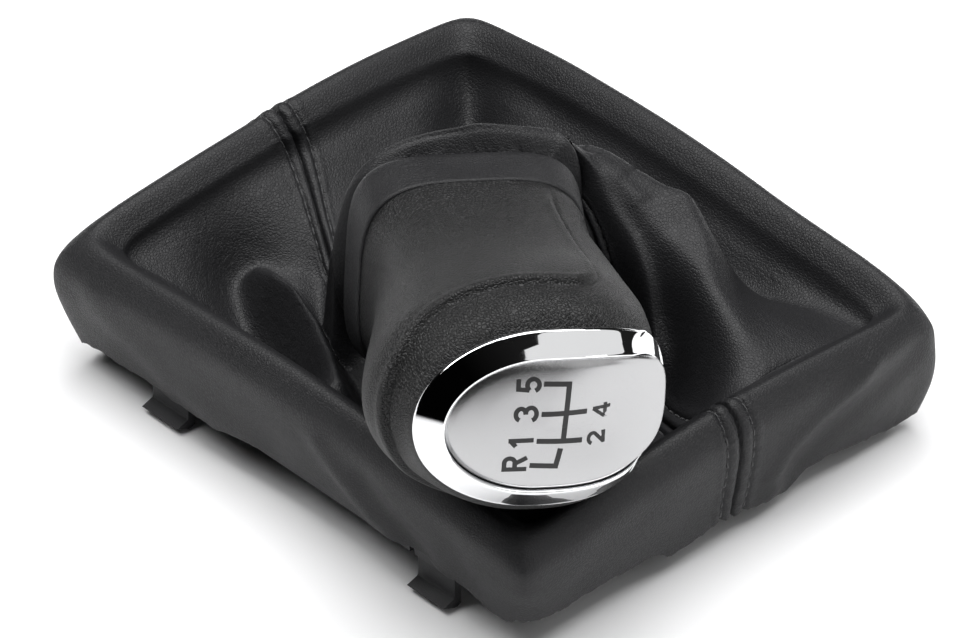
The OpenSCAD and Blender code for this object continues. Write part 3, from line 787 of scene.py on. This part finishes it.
def plate_height(x, y):
    """Height of the plate's crowned face."""
    d = (plate_face[:, 0][None] - x[:, None]) ** 2 + (plate_face[:, 1][None] - y[:, None]) ** 2
    nearest = np.argsort(d, axis=1)[:, :6]
    w = 1 / (np.take_along_axis(d, nearest, 1) + 1e-4)
    return (plate_face[:, 2][nearest] * w).sum(1) / w.sum(1)


def image_to_plate(px, py):
    """Where the line of sight through a point of the picture meets the plate, in the knob's own axes."""
    across = (px - PICTURE_WIDTH / 2) / FOCAL_PIXELS
    up = (PICTURE_HEIGHT / 2 - py) / FOCAL_PIXELS
    origin = from_knob(np.zeros(3))
    axes = np.stack([from_knob(e) - origin for e in np.eye(3)])
    eye = (TARGET + BACK * DISTANCE) / MM
    e, r = axes @ (eye - origin), axes @ (-BACK + RIGHT * across + UP * up)
    z = TOP
    for _ in range(12):
        q = e + r * (z - e[2]) / r[2]
        z = float(plate_height(q[:1], q[1:2])[0])
    return q[:2]


def finer(pts, step=0.35):
    """Points along a broken line, close enough together to follow the plate."""
    out = [pts[0]]
    for a, b in zip(pts[:-1], pts[1:]):
        k = max(1, int(math.ceil(np.linalg.norm(b - a) / step)))
        out += [a + (b - a) * i / k for i in range(1, k + 1)]
    return np.array(out)


def band(pts, width, lift):
    """A thin solid band along a line, mitred at its corners, printed on the plate."""
    pts = finer([np.array(q, float) for q in pts])
    d = np.diff(pts, axis=0)
    d /= np.linalg.norm(d, axis=1, keepdims=True)
    nrm = np.stack([-d[:, 1], d[:, 0]], -1)
    before, after = np.concatenate([nrm[:1], nrm]), np.concatenate([nrm, nrm[-1:]])
    mid = before + after
    mid /= np.linalg.norm(mid, axis=1, keepdims=True)
    mid /= np.clip((mid * after).sum(1, keepdims=True), 0.45, 1)
    left, right = pts + mid * width / 2, pts - mid * width / 2
    ring = np.stack([left, right], 1).reshape(-1, 2)
    z = plate_height(ring[:, 0], ring[:, 1])
    top = np.column_stack([ring, z + PRINT + lift])
    foot = np.column_stack([ring, z - PRINT])
    k = len(ring)
    f = []
    for i in range(len(pts) - 1):
        a, b, c, e = 2 * i, 2 * i + 1, 2 * i + 3, 2 * i + 2
        f += [[a, b, c, e], [k + a, k + e, k + c, k + b], [a, e, k + e, k + a], [b, k + b, k + c, c]]
    n = len(pts) - 1
    f += [[0, k, k + 1, 1], [2 * n, 2 * n + 1, k + 2 * n + 1, k + 2 * n]]
    return np.concatenate([top, foot]), f


def printed(name, strokes, width):
    """One printed figure, made of bands of one width."""
    verts, faces = [], []
    for i, pts in enumerate(strokes):
        v, f = band(pts, width, STROKE_STEP * i)
        faces += [[j + len(verts) for j in q] for q in f]
        verts += list(v)
    ob = add_mesh(name, from_knob(np.array(verts)), faces, smooth=False)
    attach(ob, "knob")
    return ob


ARC_STEPS = 18


def arc(cx, cy, rx, ry, start, end):
    angles = np.radians(np.linspace(start, end, ARC_STEPS + 1))
    return [(cx + rx * math.cos(a), cy + ry * math.sin(a)) for a in angles]


# generic bold figures as centre lines in a box one wide and one high
GLYPHS = {
    "R": [[(.12, 0), (.12, .89), (.55, .89)] + arc(.58, .68, .30, .21, 90, -90) + [(.12, .47)],
          [(.52, .47), (.90, 0)]],
    "1": [[(.12, .70), (.62, .93)], [(.60, 1), (.60, 0)]],
    "3": [arc(.47, .70, .36, .20, 165, -90), arc(.47, .30, .40, .22, 90, -165)],
    "5": [[(.88, .91), (.24, .91), (.16, .47)], [(.16, .47)] + arc(.48, .32, .38, .24, 128, -160)],
    "2": [arc(.48, .68, .36, .23, 165, -28) + [(.12, .09)], [(.06, .10), (.92, .10)]],
    "4": [[(.72, 0), (.72, .95)], [(.70, .93), (.08, .30)], [(.02, .27), (.98, .27)]],
}


def figure(letter, centre, height, width):
    return [[centre + np.array([(x - 0.5) * width, (y - 0.5) * height]) for x, y in stroke]
            for stroke in GLYPHS[letter]]


# the pattern's lines as they lie in the picture, in its pixels: two rungs, the tall gate, and reverse
PATTERN_PIXELS = [
    [(536.6, 441.4), (582, 439.7)],
    [(541.6, 414.5), (587, 411)],
    [(544, 384), (569.6, 384), (566.5, 414), (563.3, 440.5)],
    [(529.5, 465.5), (555.5, 466), (560.5, 448.5)],
]
LINE_WIDTH = 1.05
# the figures: letter, centre in pixels of the picture, height, width and stroke in mm
FIGURES = [
    ("R", (514, 464), 5.0, 3.2, 0.92),
    ("1", (521, 442), 5.0, 2.6, 0.92),
    ("3", (526, 414), 5.0, 3.4, 0.92),
    ("5", (529, 385), 5.0, 3.3, 0.92),
    ("2", (596, 437), 3.9, 3.0, 0.72),
    ("4", (601, 410), 3.9, 3.2, 0.72),
]
lines = [[image_to_plate(*pixel) for pixel in line] for line in PATTERN_PIXELS]
pattern = [printed("pattern_lines", lines, LINE_WIDTH)]
for k, (letter, pixel, height, width, stroke) in enumerate(FIGURES):
    pattern.append(printed("digit_%d" % k, figure(letter, image_to_plate(*pixel), height, width), stroke))


# materials
def material(name):
    """An empty material, its node tree and its shader."""
    mat = bpy.data.materials.new(name)
    mat.use_nodes = True
    tree = mat.node_tree
    tree.nodes.clear()
    out = tree.nodes.new("ShaderNodeOutputMaterial")
    shader = tree.nodes.new("ShaderNodeBsdfPrincipled")
    tree.links.new(shader.outputs[0], out.inputs[0])
    return mat, tree, shader


def node(tree, kind, **settings):
    n = tree.nodes.new(kind)
    for key, value in settings.items():
        setattr(n, key, value)
    return n


def object_place(tree):
    return node(tree, "ShaderNodeTexCoord").outputs["Object"]


def attribute(tree, name, output):
    return node(tree, "ShaderNodeAttribute", attribute_name=name).outputs[output]


def noise_node(tree, place, scale, detail=2.0):
    n = node(tree, "ShaderNodeTexNoise")
    n.inputs["Scale"].default_value = scale
    n.inputs["Detail"].default_value = detail
    tree.links.new(place, n.inputs["Vector"])
    return n


def painted_crease_shade(tree, base, cell, share, crease, full_at):
    """The base colour with painted shade in the creases between the cells: darker there by this share."""
    n = node(tree, "ShaderNodeMix", data_type="RGBA", blend_type="MULTIPLY")
    n.inputs["Factor"].default_value = share
    tree.links.new(base, n.inputs["A"])
    tree.links.new(ramp(tree, cell, [(0.0, crease), (full_at, (1, 1, 1))]), n.inputs["B"])
    return n.outputs["Result"]


def mapped(tree, value, lo, hi, to_lo, to_hi):
    n = tree.nodes.new("ShaderNodeMapRange")
    n.inputs["From Min"].default_value, n.inputs["From Max"].default_value = lo, hi
    n.inputs["To Min"].default_value, n.inputs["To Max"].default_value = to_lo, to_hi
    tree.links.new(value, n.inputs["Value"])
    return n.outputs[0]


def ramp(tree, value, stops):
    n = tree.nodes.new("ShaderNodeValToRGB")
    e = n.color_ramp.elements
    while len(e) < len(stops):
        e.new(0.5)
    for el, (pos, col) in zip(e, stops):
        el.position = pos
        el.color = (*col, 1)
    tree.links.new(value, n.inputs[0])
    return n.outputs[0]


def math_node(tree, op, a, b):
    n = tree.nodes.new("ShaderNodeMath")
    n.operation = op
    for i, x in enumerate((a, b)):
        if isinstance(x, (int, float)):
            n.inputs[i].default_value = x
        else:
            tree.links.new(x, n.inputs[i])
    return n.outputs[0]


def bump(tree, height, distance, strength, normal=None):
    n = tree.nodes.new("ShaderNodeBump")
    n.inputs["Distance"].default_value = distance
    n.inputs["Strength"].default_value = strength
    tree.links.new(height, n.inputs["Height"])
    if normal is not None:
        tree.links.new(normal, n.inputs["Normal"])
    return n.outputs[0]


GRAIN_WARP = 0.0004


def pebbles(tree, place, scale):
    """Height of a leather-like grain, and its rounded cells with fine creases between them."""
    warp = noise_node(tree, place, scale * 0.35, 3)
    shift = node(tree, "ShaderNodeVectorMath", operation="SCALE")
    shift.inputs["Scale"].default_value = GRAIN_WARP
    tree.links.new(warp.outputs["Color"], shift.inputs[0])
    warped = node(tree, "ShaderNodeVectorMath", operation="ADD")
    tree.links.new(place, warped.inputs[0])
    tree.links.new(shift.outputs[0], warped.inputs[1])
    cells = node(tree, "ShaderNodeTexVoronoi", feature="DISTANCE_TO_EDGE")
    cells.inputs["Scale"].default_value = scale
    tree.links.new(warped.outputs[0], cells.inputs["Vector"])
    cell = mapped(tree, cells.outputs["Distance"], 0.0, 0.22, 0.0, 1.0)
    fine = noise_node(tree, place, scale * 2.6, 2)
    return math_node(tree, "ADD", cell, math_node(tree, "MULTIPLY", fine.outputs["Fac"], 0.35)), cell


def leather_material():
    mat, tree, shader = material("gaiter_leather")
    place = attribute(tree, "rest_place", "Vector")
    big = noise_node(tree, place, 38, 4).outputs["Fac"]
    height, cell = pebbles(tree, place, 1500)
    base = ramp(tree, big, [(0.25, (0.0095, 0.0095, 0.0105)), (0.75, (0.0135, 0.0135, 0.0148))])
    # painted shade: the leather's colour is darker in the creases between its grain cells
    tree.links.new(painted_crease_shade(tree, base, cell, 0.4, (0.35, 0.35, 0.38), 0.6), shader.inputs["Base Color"])
    creases = math_node(tree, "MULTIPLY", mapped(tree, cell, 0, 1, 1, 0), 0.12)
    rough = math_node(tree, "ADD", mapped(tree, big, 0.3, 0.7, 0.40, 0.50), creases)
    tree.links.new(rough, shader.inputs["Roughness"])
    shader.inputs["Specular IOR Level"].default_value = 0.32
    # small folds, drawn out one way, strongest where the leather is slack
    stretch = node(tree, "ShaderNodeMapping")
    stretch.inputs["Scale"].default_value = (0.7, 1.5, 1.0)
    stretch.inputs["Rotation"].default_value = (0, 0, 0.7)
    tree.links.new(place, stretch.inputs["Vector"])
    folds = noise_node(tree, stretch.outputs[0], 330, 5)
    folds.inputs["Roughness"].default_value = 0.62
    folds.inputs["Distortion"].default_value = 0.6
    slack = math_node(tree, "MULTIPLY", attribute(tree, "wrinkled", "Fac"), 0.85)
    wave = math_node(tree, "MULTIPLY", folds.outputs["Fac"], math_node(tree, "ADD", slack, 0.15))
    tree.links.new(bump(tree, height, 0.00009, 0.6, bump(tree, wave, 0.0009, 0.5)), shader.inputs["Normal"])
    return mat


def thread_material():
    mat, tree, shader = material("seam_thread")
    twist = noise_node(tree, attribute(tree, "rest_place", "Vector"), 2600).outputs["Fac"]
    color = ramp(tree, twist, [(0.3, (0.007, 0.007, 0.008)), (0.7, (0.02, 0.02, 0.022))])
    tree.links.new(color, shader.inputs["Base Color"])
    shader.inputs["Roughness"].default_value = 0.6
    shader.inputs["Sheen Weight"].default_value = 0.3
    tree.links.new(bump(tree, twist, 0.0001, 0.6), shader.inputs["Normal"])
    return mat


def print_material():
    mat, tree, shader = material("pattern_print")
    mottle = noise_node(tree, object_place(tree), 900).outputs["Fac"]
    color = ramp(tree, mottle, [(0.3, (0.006, 0.006, 0.0065)), (0.7, (0.011, 0.011, 0.0115))])
    tree.links.new(color, shader.inputs["Base Color"])
    tree.links.new(mapped(tree, mottle, 0.3, 0.7, 0.35, 0.5), shader.inputs["Roughness"])
    return mat


def grained_plastic(name, dark, light, scale, rough, depth, strength):
    mat, tree, shader = material(name)
    place = object_place(tree)
    big = noise_node(tree, place, 60, 3).outputs["Fac"]
    height, cell = pebbles(tree, place, scale)
    base = ramp(tree, big, [(0.3, dark), (0.7, light)])
    # painted shade: the plastic's colour is darker in the creases between its grain cells
    tree.links.new(painted_crease_shade(tree, base, cell, 0.3, (0.4, 0.4, 0.4), 0.5), shader.inputs["Base Color"])
    tree.links.new(mapped(tree, big, 0.3, 0.7, rough - 0.05, rough + 0.05), shader.inputs["Roughness"])
    shader.inputs["Specular IOR Level"].default_value = 0.35
    tree.links.new(bump(tree, height, depth, strength), shader.inputs["Normal"])
    return mat


def metal(name, color, rough, scale, spread, streak=None):
    """Metal whose roughness varies by the spread, with fine streaks of this depth in metres."""
    mat, tree, shader = material(name)
    worn = noise_node(tree, object_place(tree), scale, 5).outputs["Fac"]
    shader.inputs["Metallic"].default_value = 1.0
    dull = tuple(c * 0.94 for c in color)
    tree.links.new(ramp(tree, worn, [(0.2, dull), (0.8, color)]), shader.inputs["Base Color"])
    smoothest = max(rough - spread, 0.01)
    tree.links.new(mapped(tree, worn, 0.25, 0.75, smoothest, rough + spread), shader.inputs["Roughness"])
    if streak:
        tree.links.new(bump(tree, worn, streak, 0.15), shader.inputs["Normal"])
    return mat


def assign(ob, mat):
    if ob.data.materials:
        for i in range(len(ob.data.materials)):
            ob.data.materials[i] = mat
        for s in ob.material_slots:
            s.material = mat
    else:
        ob.data.materials.append(mat)


leather = leather_material()
for ob, _ in gaiter:
    assign(ob, leather)
assign(thread, thread_material())
assign(grip, grained_plastic("grip_plastic", (0.0078, 0.0078, 0.0082), (0.0105, 0.0105, 0.0109), 1500, 0.45,
                             0.00016, 0.8))
assign(bezel, metal("bezel_chrome", (0.90, 0.905, 0.915), 0.035, 30, 0.015))
assign(plate, metal("plate_silver", (0.45, 0.45, 0.455), 0.26, 9000, 0.03, 0.00002))
ink = print_material()
for ob in pattern:
    assign(ob, ink)

# the solids of the part that show as they are, or lie hidden
core = grained_plastic("core_plastic", (0.05, 0.05, 0.052), (0.07, 0.07, 0.072), 2500, 0.55, 0.00004, 0.5)
SOLID_MATERIALS = {
    "gaiter_frame": grained_plastic("frame_plastic", (0.018, 0.018, 0.019), (0.028, 0.028, 0.030), 2200, 0.5,
                                    0.00005, 0.5),
    "gaiter_collar": core,
    "neck_strap": grained_plastic("strap_plastic", (0.012, 0.012, 0.013), (0.02, 0.02, 0.021), 3000, 0.45,
                                  0.00003, 0.4),
    "knob_core": core,
    "lever_sleeve": metal("sleeve_metal", (0.62, 0.63, 0.65), 0.34, 700, 0.05, 0.00004),
    "sleeve_ring": metal("ring_steel", (0.55, 0.56, 0.58), 0.25, 500, 0.05, 0.00002),
}
for ob in bpy.data.objects:
    solid = ob.name.split(".")[0]
    if ob.type == "MESH" and solid in SOLID_MATERIALS:
        assign(ob, SOLID_MATERIALS[solid])


# floor and light
FLOOR_REACH, FLOOR_DROP = 6, 0.0002


def pale_floor():
    signs = np.array([(-1, -1), (1, -1), (1, 1), (-1, 1)])
    corners = np.column_stack([signs * FLOOR_REACH, np.full(4, -FLOOR_DROP)])
    ob = add_mesh("floor", corners / MM, [[0, 1, 2, 3]], smooth=False)
    mat, _, shader = material("floor")
    shader.inputs["Base Color"].default_value = (0.90, 0.90, 0.905, 1)
    shader.inputs["Roughness"].default_value = 0.9
    shader.inputs["Specular IOR Level"].default_value = 0.1
    assign(ob, mat)
    return ob


pale_floor()


def dim_studio():
    """A grey world that is darkest in front."""
    world = bpy.data.worlds.new("studio")
    bpy.context.scene.world = world
    world.use_nodes = True
    tree = world.node_tree
    aim = node(tree, "ShaderNodeVectorMath", operation="DOT_PRODUCT")
    aim.inputs[1].default_value = (-0.05, -0.98, 0.18)
    tree.links.new(node(tree, "ShaderNodeTexCoord").outputs["Generated"], aim.inputs[0])
    strength = mapped(tree, aim.outputs["Value"], 0.1, 0.7, 0.27, 0.012)
    tree.links.new(strength, tree.nodes["Background"].inputs["Strength"])


dim_studio()


def area_light(name, place, aim, size, power):
    light = bpy.data.lights.new(name, "AREA")
    light.shape = "RECTANGLE"
    light.size, light.size_y = size
    light.energy = power
    ob = bpy.data.objects.new(name, light)
    bpy.context.collection.objects.link(ob)
    ob.location = place
    ob.rotation_euler = (Vector(aim) - Vector(place)).to_track_quat("-Z", "Y").to_euler()


area_light("overhead", (0.0, 0.30, 1.5), (0.0, 0.08, 0), (1.9, 1.7), 45)
area_light("front", (-0.75, -0.75, 1.6), (-0.05, -0.1, 0), (1.2, 0.8), 16)
area_light("right", (1.30, 0.42, 0.80), (0, 0, 0.03), (2.0, 1.55), 8)

bpy.context.scene.view_settings.view_transform = "Standard"

bpy.context.view_layer.update()
